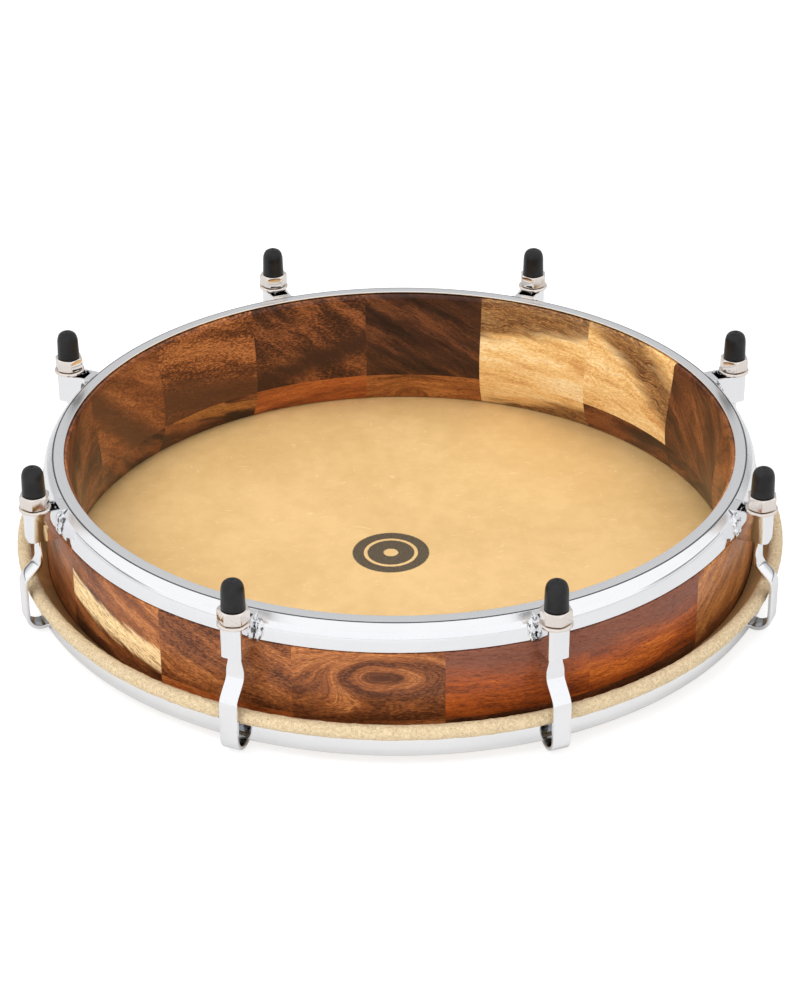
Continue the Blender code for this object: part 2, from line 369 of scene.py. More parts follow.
def wear(piece, *materials):
    """Dresses a piece in these materials."""
    piece.data.materials.clear()
    for material in materials:
        piece.data.materials.append(material)
    return piece


# ---------------------------------------------------------------- wood

NO_STRIPE = ((0.5, 0.5, 0.5), 0.0, 0.0, -9.0, 0.3)


def block_place_group():
    """Where a point lies on its block: along the rim, up from the head and outwards, in centimetres."""
    tree, given, result = new_group(
        "block_place",
        (("Place", "NodeSocketVector", (0.0, 0.0, 0.0)), ("Turn", "NodeSocketFloat", 0.0)),
        (("Place", "NodeSocketVector"), ("Up", "NodeSocketFloat")),
    )
    parts = split_place(tree, lean_place(tree, given["Place"], given["Turn"]))
    along = sums(tree, "MULTIPLY", sums(tree, "ARCTAN2", parts["Y"], parts["X"]), SHELL_RADIUS_CM)
    up = sums(tree, "MULTIPLY", parts["Z"], CM_PER_M)
    out = sums(tree, "MULTIPLY", parts["X"], CM_PER_M)
    tree.links.new(join_place(tree, along, up, out), result["Place"])
    tree.links.new(parts["Z"], result["Up"])
    return tree


def board_group():
    """The figure of one board: growth bands, fine grain lines, pores, a soft stripe and a knot."""
    colour = "NodeSocketColor"
    number = "NodeSocketFloat"
    tree, given, result = new_group(
        "board_figure",
        (
            ("Place", "NodeSocketVector", (0.0, 0.0, 0.0)),
            ("Dark", colour, (0.1, 0.04, 0.02, 1.0)),
            ("Mid", colour, (0.3, 0.12, 0.04, 1.0)),
            ("Pale", colour, (0.5, 0.25, 0.1, 1.0)),
            ("Lean", number, 0.0),
            ("Wave", number, 0.4),
            ("Bands", number, 1.0),
            ("Curl", number, 0.3),
            ("Stripe", colour, (0.9, 0.6, 0.3, 1.0)),
            ("Stripe Height", number, 0.0),
            ("Stripe Lean", number, 0.0),
            ("Stripe Width", number, 0.0),
            ("Stripe Edge", number, 0.3),
            ("Knot Place", "NodeSocketVector", (0.0, 0.0, 0.0)),
            ("Knot Pull", number, 0.0),
            ("Seed", number, 0.0),
        ),
        (("Color", colour), ("Height", number)),
    )
    place = given["Place"]
    shifted = place_sum(tree, "ADD", place, join_place(tree, given["Seed"], given["Seed"], given["Seed"]))
    drift = sums(tree, "SUBTRACT", speckle(tree, shifted, 0.55, 1.0), 0.5)

    # A knot is longer along the board than across it, and draws the grain into rings round itself
    from_knot = place_sum(tree, "SUBTRACT", place, given["Knot Place"])
    reach = reach_of(tree, stretch(tree, from_knot, (0.42, 1.0, 0.0)))
    reach = sums(tree, "ADD", reach, sums(tree, "MULTIPLY", drift, 0.5))
    near = sums(tree, "EXPONENT", sums(tree, "MULTIPLY", sums(tree, "MULTIPLY", reach, reach), -0.45))
    pull = sums(tree, "MULTIPLY", near, given["Knot Pull"], clamp=True)

    # Elsewhere the grain runs at the board's lean, with a slow wave and a small ripple
    axes = split_place(tree, lean_place(tree, place, given["Lean"]))
    across = sums(tree, "MULTIPLY_ADD", drift, given["Wave"], axes["Y"])
    ripple = sums(tree, "SUBTRACT", speckle(tree, shifted, 1.9, 1.0), 0.5)
    across = sums(tree, "MULTIPLY_ADD", ripple, 0.16, across)
    mixed = blend_numbers(tree, pull, across, reach)
    level = sums(tree, "MULTIPLY", axes["Z"], 0.25)

    def streaks(along_scale, across_scale, detail, roughness=0.5):
        """Noise drawn out along the grain."""
        lead = sums(tree, "MULTIPLY", axes["X"], along_scale)
        side = sums(tree, "MULTIPLY", mixed, across_scale)
        deep = sums(tree, "ADD", level, given["Seed"])
        return speckle(tree, join_place(tree, lead, side, deep), 1.0, detail, roughness)

    bands = between(tree, streaks(0.20, 0.9, 2.0), 0.30, 0.70)
    lines = streaks(0.40, 4.2, 4.0, 0.6)
    threads = streaks(1.2, 17.0, 3.0, 0.6)
    pores = between(tree, streaks(3.4, 20.0, 2.0, 0.6), 0.55, 0.62)
    curl = speckle(tree, stretch(tree, shifted, (5.0, 16.0, 5.0)), 1.0, 3.0, 0.65)
    curl = between(tree, curl, 0.34, 0.66)

    # Dark, middle and pale wood by tone, darker in the heart of the knot
    tone = sums(tree, "MULTIPLY_ADD", sums(tree, "SUBTRACT", bands, 0.5), given["Bands"], 0.5)
    tone = sums(tree, "ADD", tone, sums(tree, "MULTIPLY", sums(tree, "SUBTRACT", lines, 0.5), 1.1))
    tone = sums(tree, "MULTIPLY_ADD", sums(tree, "SUBTRACT", curl, 0.5), given["Curl"], tone, clamp=True)
    lower_half = blend_colours(tree, between(tree, tone, 0.0, 0.55), given["Dark"], given["Mid"])
    body = blend_colours(tree, between(tree, tone, 0.5, 1.0), lower_half, given["Pale"])
    heart = sums(tree, "ADD", reach, sums(tree, "MULTIPLY", lines, 0.5))
    heart = sums(tree, "MULTIPLY", between(tree, heart, 0.35, 0.60, 0.8, 0.0), pull)
    body = blend_colours(tree, heart, body, given["Dark"])

    # One stripe of other wood with a feathered edge
    level_up = split_place(tree, lean_place(tree, place, given["Stripe Lean"]))["Y"]
    stripe_noise = sums(tree, "MULTIPLY", sums(tree, "SUBTRACT", streaks(0.35, 3.0, 4.0), 0.5), 1.3)
    gap = gap_to(tree, sums(tree, "ADD", level_up, stripe_noise), given["Stripe Height"])
    rim = sums(tree, "SUBTRACT", gap, given["Stripe Width"])
    inside = between(tree, rim, 0.0, given["Stripe Edge"], 1.0, 0.0)
    stripe_tone = sums(tree, "MULTIPLY", inside, between(tree, lines, 0.25, 0.60, 0.74, 1.0))
    body = blend_colours(tree, stripe_tone, body, given["Stripe"])

    # Fine dark threads and open pores over all of it
    threaded = blend_colours(tree, between(tree, threads, 0.28, 0.62, 0.42, 0.0), body, given["Dark"])
    pored = blend_colours(tree, sums(tree, "MULTIPLY", pores, 0.62), threaded, given["Dark"])
    tree.links.new(pored, result["Color"])
    tree.links.new(sums(tree, "SUBTRACT", lines, pores), result["Height"])
    return tree


def tones(dark, mid, pale):
    return {"dark": dark, "mid": mid, "pale": pale}


WALNUT = tones((0.018, 0.0065, 0.004), (0.062, 0.021, 0.0095), (0.165, 0.054, 0.019))
UMBER = tones((0.032, 0.011, 0.005), (0.125, 0.038, 0.013), (0.30, 0.098, 0.030))
CHESTNUT = tones((0.070, 0.020, 0.007), (0.27, 0.083, 0.023), (0.52, 0.19, 0.055))
RUSSET = tones((0.075, 0.016, 0.006), (0.36, 0.075, 0.011), (0.66, 0.175, 0.024))
COPPER = tones((0.13, 0.035, 0.010), (0.48, 0.130, 0.027), (0.68, 0.235, 0.060))
HONEY = tones((0.12, 0.035, 0.010), (0.42, 0.150, 0.037), (0.70, 0.31, 0.085))
BLOND = tones((0.60, 0.30, 0.095), (0.91, 0.62, 0.26), (0.98, 0.80, 0.46))
CREAM_STRIPE = (0.97, 0.70, 0.36)
DARK_STRIPE = (0.050, 0.017, 0.008)
BROWN_STRIPE = (0.10, 0.036, 0.014)
PLUM_STRIPE = (0.20, 0.070, 0.040)
GOLD_STRIPE = (0.48, 0.19, 0.045)


def board(wood, lean=0.0, wave=0.8, bands=1.0, curl=0.3, stripe=NO_STRIPE, knot=(0.0, 0.0, 0.0), seed=0.0):
    """One board; lean is in degrees.

    A stripe is (colour, height, lean, half width, edge) and a knot is (along, up, pull), in centimetres.
    """
    return {
        "wood": wood,
        "lean": lean,
        "wave": wave,
        "bands": bands,
        "curl": curl,
        "stripe": stripe,
        "knot": knot,
        "seed": seed,
    }


# Each block round the rim from the front seam rightwards: its upper board and its lower board
BOARDS = (
    (
        board(RUSSET, -4, 0.5, 0.4, 0.2, (PLUM_STRIPE, 5.1, -4, 0.5, 1.3), seed=3.1),
        board(UMBER, 3, bands=0.5, seed=4.3),
    ),
    (
        board(RUSSET, -3, 0.4, 0.4, 0.2, (PLUM_STRIPE, 5.1, 2, 0.5, 1.3), seed=7.7),
        board(UMBER, 2, bands=0.5, seed=5.9),
    ),
    (board(HONEY, 32, 0.7, 0.5, 0.3, seed=9.2), board(CHESTNUT, 12, bands=0.5, seed=2.2)),
    (board(CHESTNUT, -18, 0.9, 0.6, 0.2, seed=12.4), board(CHESTNUT, 6, seed=6.1)),
    (board(UMBER, 32, 1.0, 0.6, 0.2, seed=14.8), board(UMBER, -15, seed=8.3)),
    (
        board(BLOND, 6, 0.7, 0.6, 0.5, (BROWN_STRIPE, 5.2, 28, 0.45, 1.1), seed=16.3),
        board(UMBER, -9, seed=9.9),
    ),
    (
        board(BLOND, 3, 0.5, 0.8, 0.4, (BROWN_STRIPE, 6.3, -10, 0.95, 0.9), seed=18.9),
        board(BLOND, 4, 0.5, 0.6, 0.3, (BROWN_STRIPE, 0.1, -9, 0.35, 0.6), seed=11.2),
    ),
    (
        board(WALNUT, 27, 0.6, 0.8, 0.2, seed=20.5),
        board(HONEY, -3, 0.5, 0.4, 0.2, knot=(0.6, 0.7, 0.5), seed=12.6),
    ),
    (
        board(UMBER, 38, 0.9, 0.9, 0.8, (DARK_STRIPE, 3.0, -14, 0.10, 1.0), seed=23.8),
        board(COPPER, -4, 0.4, 0.4, 0.1, seed=13.7),
    ),
    (
        board(CHESTNUT, 10, 0.6, 0.7, 0.9, (BROWN_STRIPE, 2.4, 10, 0.30, 1.5), seed=25.1),
        board(UMBER, 14, 0.6, stripe=(GOLD_STRIPE, 1.7, 12, 0.22, 0.4), seed=15.2),
    ),
    (
        board(CHESTNUT, 24, 0.8, 0.4, 0.4, (BROWN_STRIPE, 2.4, 42, 0.3, 1.1), seed=27.9),
        board(UMBER, 35, seed=16.8),
    ),
    (board(UMBER, -14, 1.4, 0.7, 0.4, seed=29.4), board(UMBER, 24, seed=17.1)),
    (board(CHESTNUT, -22, 0.7, 0.5, 0.2, seed=31.6), board(CHESTNUT, -8, bands=0.5, seed=18.4)),
    (
        board(CHESTNUT, -20, 0.6, 0.7, 0.3, (CREAM_STRIPE, 3.05, -9, 0.42, 0.40), seed=33.2),
        board(UMBER, -8, seed=19.7),
    ),
    (board(CHESTNUT, -18, 0.8, 0.6, 0.5, seed=35.5), board(COPPER, -5, 0.5, 0.5, 0.2, seed=20.9)),
    (
        board(CHESTNUT, 4, 0.7, 0.7, 0.35, knot=(0.85, 4.1, 1.0), seed=37.3),
        board(CHESTNUT, 5, bands=0.5, seed=21.4),
    ),
)


def block_material(number, place_group, figure_group, upper, lower):
    """Lacquered wood of one block, its lower board below the glue line and its upper board above it."""
    name = f"lacquered_block_{number}"
    lacquer = {"Roughness": 0.5, "Specular_IOR_Level": 0.15, "Coat_Weight": 0.24, "Coat_Roughness": 0.07}
    material, tree, shader, place = new_material(name, **lacquer)
    centre = FIRST_SEAM + (number + 0.5) * BLOCK_ANGLE
    spot = use_group(tree, place_group, Place=place, Turn=-centre)
    figures = []
    for one in (lower, upper):
        stripe, height, lean, width, edge = one["stripe"]
        wood = one["wood"]
        figures.append(
            use_group(
                tree,
                figure_group,
                Place=spot["Place"],
                Dark=(*wood["dark"], 1.0),
                Mid=(*wood["mid"], 1.0),
                Pale=(*wood["pale"], 1.0),
                Lean=math.radians(-one["lean"]),
                Wave=one["wave"],
                Bands=one["bands"],
                Curl=one["curl"],
                Stripe=(*stripe, 1.0),
                Stripe_Height=height,
                Stripe_Lean=math.radians(-lean),
                Stripe_Width=width,
                Stripe_Edge=edge,
                Knot_Place=(one["knot"][0], one["knot"][1], 0.0),
                Knot_Pull=one["knot"][2],
                Seed=one["seed"],
            )
        )
    is_upper = sums(tree, "GREATER_THAN", spot["Up"], COURSE_HEIGHT)
    colour = blend_colours(tree, is_upper, figures[0]["Color"], figures[1]["Color"])
    tree.links.new(colour, shader.inputs["Base Color"])
    shine = between(tree, speckle(tree, place, 60.0, 3.0), 0.3, 0.7, 0.38, 0.52)
    tree.links.new(shine, shader.inputs["Roughness"])
    swell = speckle(tree, place, 90.0, 2.0)
    add_bump(tree, shader, 0.05, 0.0003, swell)
    return material


# ---------------------------------------------------------------- metal, skin and rubber


def polish_group():
    """Fine hairlines and faint smears on plated metal."""
    tree, given, result = new_group(
        "polish_marks",
        (
            ("Place", "NodeSocketVector", (0.0, 0.0, 0.0)),
            ("Smooth", "NodeSocketFloat", 0.05),
            ("Dull", "NodeSocketFloat", 0.12),
        ),
        (("Roughness", "NodeSocketFloat"), ("Height", "NodeSocketFloat"), ("Tint", "NodeSocketFloat")),
    )
    smear = between(tree, speckle(tree, given["Place"], 45.0, 3.0), 0.35, 0.75)
    hair = speckle(tree, stretch(tree, given["Place"], (900.0, 900.0, 130.0)), 1.0, 2.0)
    spots = between(tree, speckle(tree, given["Place"], 1400.0, 1.0), 0.66, 0.74)
    dull = sums(tree, "MULTIPLY", sums(tree, "MULTIPLY_ADD", hair, 0.4, smear), 0.7, clamp=True)
    span = sums(tree, "SUBTRACT", given["Dull"], given["Smooth"])
    tree.links.new(sums(tree, "MULTIPLY_ADD", dull, span, given["Smooth"]), result["Roughness"])
    wavy = sums(tree, "MULTIPLY_ADD", speckle(tree, given["Place"], 70.0, 1.0), 4.0, hair)
    tree.links.new(wavy, result["Height"])
    tree.links.new(sums(tree, "MAXIMUM", sums(tree, "MULTIPLY", smear, 0.35), spots), result["Tint"])
    return tree


# Clean colour, stained colour, roughness where smooth and where dull, and depth of the hairlines
PLATING = {
    "bright_chrome": ((0.90, 0.905, 0.915), (0.72, 0.73, 0.76), 0.03, 0.10, 0.10),
    "satin_chrome": ((0.90, 0.905, 0.91), (0.80, 0.81, 0.83), 0.26, 0.36, 0.10),
    # seam_shadow: dark chrome painted as shade along the back ring's seam
    "seam_shadow": ((0.16, 0.16, 0.165), (0.06, 0.06, 0.06), 0.20, 0.35, 0.10),
    # Darker chrome painted as shade inside the hook's curl
    "recess_chrome": ((0.30, 0.31, 0.325), (0.16, 0.16, 0.17), 0.05, 0.14, 0.10),
    "warm_nickel": ((0.83, 0.765, 0.71), (0.62, 0.54, 0.48), 0.10, 0.22, 0.25),
    "plated_weld": ((0.88, 0.885, 0.895), (0.72, 0.73, 0.76), 0.04, 0.12, 0.10),
}


def plated_material(name, marks):
    """Metal with one of the plated finishes."""
    clean, stained, smooth, dull, strength = PLATING[name]
    material, tree, shader, place = new_material(name, Metallic=1.0)
    polish = use_group(tree, marks, Place=place, Smooth=smooth, Dull=dull)
    tint = sums(tree, "MULTIPLY", polish["Tint"], 0.35)
    tree.links.new(blend_colours(tree, tint, (*clean, 1.0), (*stained, 1.0)), shader.inputs["Base Color"])
    tree.links.new(polish["Roughness"], shader.inputs["Roughness"])
    add_bump(tree, shader, strength, 0.0001, polish["Height"])
    return material


def weld_material(marks):
    """Plated bead, streaked with painted dark reflections."""
    material = plated_material("plated_weld", marks)
    tree = material.node_tree
    shader = tree.nodes["Principled BSDF"]
    place = tree.nodes["Texture Coordinate"].outputs["Object"]
    # Noise streaks darken the plating towards near-black: painted dark reflections, not following the bead's
    # shape
    drawn = stretch(tree, place, (640.0, 640.0, 260.0))
    painted_dark_streaks = between(tree, speckle(tree, drawn, 1.0, 2.0), 0.50, 0.60)
    clean = shader.inputs["Base Color"].links[0].from_socket
    colour = blend_colours(tree, sums(tree, "MULTIPLY", painted_dark_streaks, 0.9), clean, (0.075, 0.072, 0.070, 1.0))
    tree.links.new(colour, shader.inputs["Base Color"])
    return material


def hide_group():
    """Mottling, stray fibres and pores of a scraped hide."""
    tree, given, result = new_group(
        "hide_marks",
        (("Place", "NodeSocketVector", (0.0, 0.0, 0.0)),),
        (("Mottle", "NodeSocketFloat"), ("Fibre", "NodeSocketFloat"), ("Pores", "NodeSocketFloat")),
    )
    place = given["Place"]
    clouds = speckle(tree, place, 14.0, 4.0, 0.6)
    patches = speckle(tree, place, 120.0, 3.0, 0.65)
    mottle = sums(tree, "ADD", sums(tree, "MULTIPLY", clouds, 0.6), sums(tree, "MULTIPLY", patches, 0.4))
    tree.links.new(between(tree, mottle, 0.36, 0.64), result["Mottle"])
    swirl = put(tree, "ShaderNodeTexNoise", {"Vector": place, "Scale": 30.0, "Detail": 1.0})
    bending = {0: swirl.outputs["Color"], 1: (0.03, 0.03, 0.0), 2: place}
    bent = put(tree, "ShaderNodeVectorMath", bending, operation="MULTIPLY_ADD").outputs[0]
    one_way = speckle(tree, stretch(tree, bent, (160.0, 900.0, 300.0)), 1.0, 2.0)
    other_way = speckle(tree, stretch(tree, bent, (1000.0, 210.0, 300.0)), 1.0, 2.0)
    one_way = between(tree, one_way, 0.66, 0.74)
    other_way = between(tree, other_way, 0.68, 0.76)
    tree.links.new(sums(tree, "MAXIMUM", one_way, other_way), result["Fibre"])
    tree.links.new(between(tree, speckle(tree, place, 1900.0, 2.0), 0.62, 0.74), result["Pores"])
    return tree


# The stamp on the hide: its middle on the head, and the radii of its disc, its ring and its dot, in metres
STAMP_PLACE = (-0.0047, -0.0019, 0.0)
STAMP_DISC = (0.0199, 0.0205)
STAMP_RING = 0.0135
STAMP_RING_HALF_WIDTH = (0.0007, 0.0011)
STAMP_DOT = (0.0040, 0.0046)


def stamp_ink(tree, place):
    """How much ink a plain round stamp leaves: a disc with a clear ring and a clear dot."""
    centred = place_sum(tree, "SUBTRACT", place, STAMP_PLACE)
    reach = reach_of(tree, stretch(tree, centred, (1.0, 1.0, 0.0)))
    ragged = sums(tree, "MULTIPLY_ADD", speckle(tree, place, 1500.0, 2.0), 0.0012, reach)
    disc = between(tree, ragged, *STAMP_DISC, 1.0, 0.0)
    ring = between(tree, gap_to(tree, ragged, STAMP_RING), *STAMP_RING_HALF_WIDTH)
    ink = sums(tree, "MULTIPLY", disc, sums(tree, "MULTIPLY", ring, between(tree, ragged, *STAMP_DOT)))
    worn = between(tree, speckle(tree, place, 1300.0, 3.0, 0.7), 0.30, 0.66, 1.0, 0.84)
    return sums(tree, "MULTIPLY", ink, worn)


def skin_material(hide):
    """Scraped hide with a plain round stamp near its middle."""
    material, tree, shader, place = new_material("scraped_hide", Roughness=0.5, IOR=1.45)
    marks = use_group(tree, hide, Place=place)
    colour = blend_colours(tree, marks["Mottle"], (0.625, 0.405, 0.165, 1.0), (0.700, 0.470, 0.205, 1.0))
    fibres = sums(tree, "MULTIPLY", marks["Fibre"], 0.35)
    colour = blend_colours(tree, fibres, colour, (0.93, 0.74, 0.45, 1.0))
    pores = sums(tree, "MULTIPLY", marks["Pores"], 0.22)
    colour = blend_colours(tree, pores, colour, (0.45, 0.27, 0.11, 1.0))
    colour = blend_colours(tree, stamp_ink(tree, place), colour, (0.022, 0.021, 0.018, 1.0))
    tree.links.new(colour, shader.inputs["Base Color"])
    tree.links.new(between(tree, marks["Mottle"], 0.0, 1.0, 0.42, 0.58), shader.inputs["Roughness"])
    relief = sums(tree, "MULTIPLY_ADD", marks["Fibre"], 0.6, sums(tree, "MULTIPLY", marks["Mottle"], 0.8))
    add_bump(tree, shader, 0.35, 0.0002, relief)
    return material


def roll_material(hide):
    """The fuzzy rolled edge of the hide."""
    material, tree, shader, place = new_material("fuzzy_roll", Roughness=0.85, IOR=1.4)
    marks = use_group(tree, hide, Place=place)
    tufts = between(tree, speckle(tree, place, 650.0, 4.0, 0.7), 0.32, 0.66)
    grit = between(tree, speckle(tree, place, 1900.0, 2.0, 0.6), 0.36, 0.64)
    colour = blend_colours(tree, tufts, (0.44, 0.30, 0.15, 1.0), (0.68, 0.52, 0.31, 1.0))
    colour = blend_colours(tree, sums(tree, "MULTIPLY", grit, 0.6), colour, (0.86, 0.74, 0.52, 1.0))
    pores = sums(tree, "MULTIPLY", marks["Pores"], 0.6)
    colour = blend_colours(tree, pores, colour, (0.30, 0.19, 0.09, 1.0))
    tree.links.new(colour, shader.inputs["Base Color"])
    tree.links.new(between(tree, grit, 0.0, 1.0, 0.75, 0.95), shader.inputs["Roughness"])
    relief = sums(tree, "MULTIPLY_ADD", grit, 0.4, tufts)
    add_bump(tree, shader, 0.8, 0.0005, relief)
    return material


def rubber_material():
    """Satin black rubber with a faint bloom."""
    material, tree, shader, place = new_material("satin_rubber", IOR=1.38)
    bloom = between(tree, speckle(tree, place, 160.0, 4.0, 0.6), 0.35, 0.7)
    grain = speckle(tree, place, 2600.0, 2.0)
    colour = blend_colours(tree, bloom, (0.004, 0.004, 0.0045, 1.0), (0.011, 0.011, 0.012, 1.0))
    tree.links.new(colour, shader.inputs["Base Color"])
    tree.links.new(between(tree, bloom, 0.0, 1.0, 0.30, 0.40), shader.inputs["Roughness"])
    add_bump(tree, shader, 0.25, 0.0001, grain)
    return material


# ---------------------------------------------------------------- shell, rings and head


def make_shell(materials):
    """The wooden shell, waisted inside, turned in one piece; each block wears its own material."""
    outline = [(172.0, 64.2), (167.2, 65.7), (166.3, 65.8), (165.5, 65.3), (165.0, 64.3)]
    waist = ((162.3, 42.0), (161.0, 29.5), (161.6, 18.0))
    outline += softly(((164.8, 62.6), (164.3, 56.0), *waist, (163.4, 10.5), (167.2, 1.9)), 4)
    outline += [(167.7, 1.25), (168.4, 1.0), (176.6, 1.0), (177.5, 1.3), (178.0, 1.8), (178.2, 2.6)]
    outline += [(178.2, 18.2), (178.2, 36.0), (178.2, 53.0)]
    outline += [(177.6, 53.6), (176.1, 53.6), (176.0, 56.6), (175.2, 60.4), (173.9, 62.9)]
    shell = turned("shell_wood", outline, BLOCKS * 16, start=FIRST_SEAM)
    wear(shell, *materials)
    for face in shell.data.polygons:
        around = math.atan2(face.center.y, face.center.x) - FIRST_SEAM
        face.material_index = int((around % (2.0 * math.pi)) / BLOCK_ANGLE) % BLOCKS
    return shell


def make_back_ring(bright, satin, seam):
    """Welded ring: a satin flange over the shell's end, a thin line of painted shade at the seam and a
    bright rounded band.
    """
    outline = [(166.7, 66.55), *arc((167.05, 66.75), 0.35, 180.0, 84.0, 5), (170.0, 66.95)]
    outline += [(SEAM_INNER, 66.76), (SEAM_OUTER, 66.62), (172.8, 66.42)]
    band = ((173.1, 66.1), (174.4, 64.75), (175.6, 63.3), (176.8, 60.5), (177.4, 57.0), (177.6, 54.3))
    outline += softly(band, 4)
    outline += [(177.45, 53.98), (177.2, 53.9), (176.4, 53.9)]
    outline += softly(((176.3, 56.6), (175.5, 60.5), (174.3, 63.1), (172.3, 64.6)), 2)
    outline += [(167.4, 66.1), (166.9, 66.25)]
    ring = turned("back_ring_plate", outline, 384, smooth_deg=26.0)
    wear(ring, bright, satin, seam)
    for face in ring.data.polygons:
        radius = math.hypot(face.center.x, face.center.y) / MM
        face.material_index = int(face.normal.z > SATIN_FACING)
        # Upward faces between SEAM_INNER and SEAM_OUTER wear dark chrome: painted shade along the seam
        if face.normal.z > 0.0 and SEAM_INNER < radius < SEAM_OUTER:
            face.material_index = 2
    return ring


def make_counter_hoop():
    """Plain band with eased edges."""
    return turned("counter_hoop_band", eased_box(185.6, 188.1, 5.4, 15.5, 0.7), 384, smooth_deg=40.0)


def make_head(skin, roll):
    """Flat head, wall outside the shell and the fuzzy roll round the flesh hoop."""
    outline = [(0.0, 0.7), (60.0, 0.7), (120.0, 0.7), (160.0, 0.7)]
    outline += [(178.6, 0.7), (178.6, 6.0), (178.6, 12.8)]
    outline += arc(ROLL_CENTRE, ROLL_OUTER, 190.0, -110.0, 26)
    outline += arc(ROLL_CENTRE, ROLL_INNER, -110.0, 190.0, 10)
    outline += [(179.3, 12.5), (179.3, 6.0), *arc((178.1, 1.2), 1.2, 0.0, -90.0, 4)]
    outline += [(160.0, 0.0), (120.0, 0.0), (60.0, 0.0), (0.0, 0.0)]
    head = turned("head_skin", outline, 760, closed=False, smooth_deg=60.0)

    def from_roll(place):
        """Distance from the roll's middle in the section, in metres."""
        return math.hypot(math.hypot(place.x, place.y) - ROLL_CENTRE[0] * MM, place.z - ROLL_CENTRE[1] * MM)

    wear(head, skin, roll)
    for face in head.data.polygons:
        face.material_index = int(from_roll(face.center) < ROLL_REACH * MM)
    fuzz = head.vertex_groups.new(name="fuzz")
    outer = []
    for vertex in head.data.vertices:
        if from_roll(vertex.co) > FUZZ_DEPTH * MM and math.hypot(vertex.co.x, vertex.co.y) > FUZZ_INNER * MM:
            outer.append(vertex.index)
    fuzz.add(outer, 1.0, "REPLACE")
    add_lumps(head, "roll_lumps", ((0.0042, 0.0004), (0.0010, 0.0004)), 1, vertex_group="fuzz")
    return head


# ---------------------------------------------------------------- one tuner, built round its bolt


def make_cap():
    """Rubber cap, hollow for the bolt's end, with a dimple on its crown."""
    outline = [(0.0, 85.6), (3.9, 85.6), (4.3, 85.0), (4.3, 75.5), (4.6, 75.4)]
    outline += arc((5.4, 75.65), 0.25, -90.0, 0.0, 3)
    side = ((5.65, 76.3), (5.62, 77.2), (5.58, 78.2), (5.5, 81.0), (5.4, 84.2))
    crown = ((5.16, 86.0), (4.6, 87.6), (3.7, 88.65), (2.4, 89.35), (1.3, 89.5))
    outline += softly(side + crown, 4)
    outline += [(0.98, 89.42), (0.78, 89.14), (0.4, 89.0), (0.0, 88.97)]
    return turned("tuner_cap", outline, 48, closed=False, smooth_deg=50.0)


def make_nut():
    """Hexagon nut, chamfered, bored and with eased edges."""
    nothing_selected()
    corner = 0.5 * NUT_ACROSS_FLATS * MM / math.cos(math.pi / 6.0)
    middle = (0.0, 0.0, NUT_MIDDLE * MM)
    bpy.ops.mesh.primitive_cylinder_add(vertices=6, radius=corner, depth=NUT_HEIGHT * MM, location=middle)
    nut = name_piece("tuner_nut")
    shade(nut, 30.0)
    outline = [(0.0, 68.7), (6.25, 68.7), (8.2, 69.75), (8.2, 74.1), (6.2, 75.2), (0.0, 75.2)]
    carve(nut, turned("nut_chamfer", outline, 96, closed=False), "INTERSECT")
    bore = [(0.0, 60.0), (4.2, 60.0), (4.2, 74.6), (4.9, 75.4), (4.9, 80.0), (0.0, 80.0)]
    carve(nut, turned("nut_bore", bore, 48, closed=False))
    soften_edges(nut, 0.16, 2, 24.0)
    shade(nut, 35.0)
    return nut


def make_washer():
    """Plain washer with well rounded edges."""
    return turned("tuner_washer", eased_box(4.4, 7.75, 66.8, 68.4, 0.55), 64, smooth_deg=45.0)


def bend_strip():
    """The flat bar of one hook: neck, offset, leg and curl."""
    bend = [(0.0, 51.2), (0.0, 48.2), (0.0, 44.9), (0.0, NECK_FOOT)]
    bend += [(0.3, 38.7), (1.6, 36.4), (4.3, 33.7), (7.0, 31.0), (8.25, 28.8)]
    bend += [(LEG_REACH, 26.2), (LEG_REACH, 20.0), (LEG_REACH, 12.6)]
    path = [*softly(bend, 4), *arc(CURL_CENTRE, CURL_RADIUS, 0.0, -180.0, 15), CURL_TIP]
    half = 0.5 * STRIP_WIDTH
    strip = draw_line("hook_strip", [Vector((x, -half, z)) * MM for x, z in path])
    bpy.ops.mesh.select_all(action="SELECT")
    for _ in range(2):
        bpy.ops.mesh.extrude_region_move(TRANSFORM_OT_translate={"value": (0.0, half * MM, 0.0)})
    bpy.ops.mesh.select_all(action="SELECT")
    bpy.ops.mesh.remove_doubles(threshold=2e-6)
    bpy.ops.mesh.normals_make_consistent(inside=False)

    # The neck narrows smoothly towards the bolt, and the tip a little at its end
    narrow = NECK_WIDTH / STRIP_WIDTH
    for x, z in path:
        if z < NECK_FOOT:
            break
        share = min(max((NECK_TOP - z) / (NECK_TOP - NECK_FOOT), 0.0), 1.0)
        width = narrow + (1.0 - narrow) * share * share * (3.0 - 2.0 * share)
        pick_points(strip, lambda place: abs(place.z - z * MM) < 2e-6)
        bpy.ops.transform.resize(value=(1.0, width, 1.0), center_override=(0.0, 0.0, 0.0))
    tip_x = CURL_TIP[0] * MM + 1e-5
    tip_z = (CURL_TIP[1] - 0.1) * MM
    pick_points(strip, lambda place: place.x < tip_x and place.z > tip_z)
    bpy.ops.transform.resize(value=(1.0, TIP_NARROWING, 1.0), center_override=(0.0, 0.0, 0.0))
    bpy.ops.object.mode_set(mode="OBJECT")
    finish_with(strip, "SOLIDIFY", thickness=STRIP_THICKNESS * MM, offset=0.0, use_even_offset=True)
    soften_edges(strip, 0.5, 3, 50.0)
    return strip


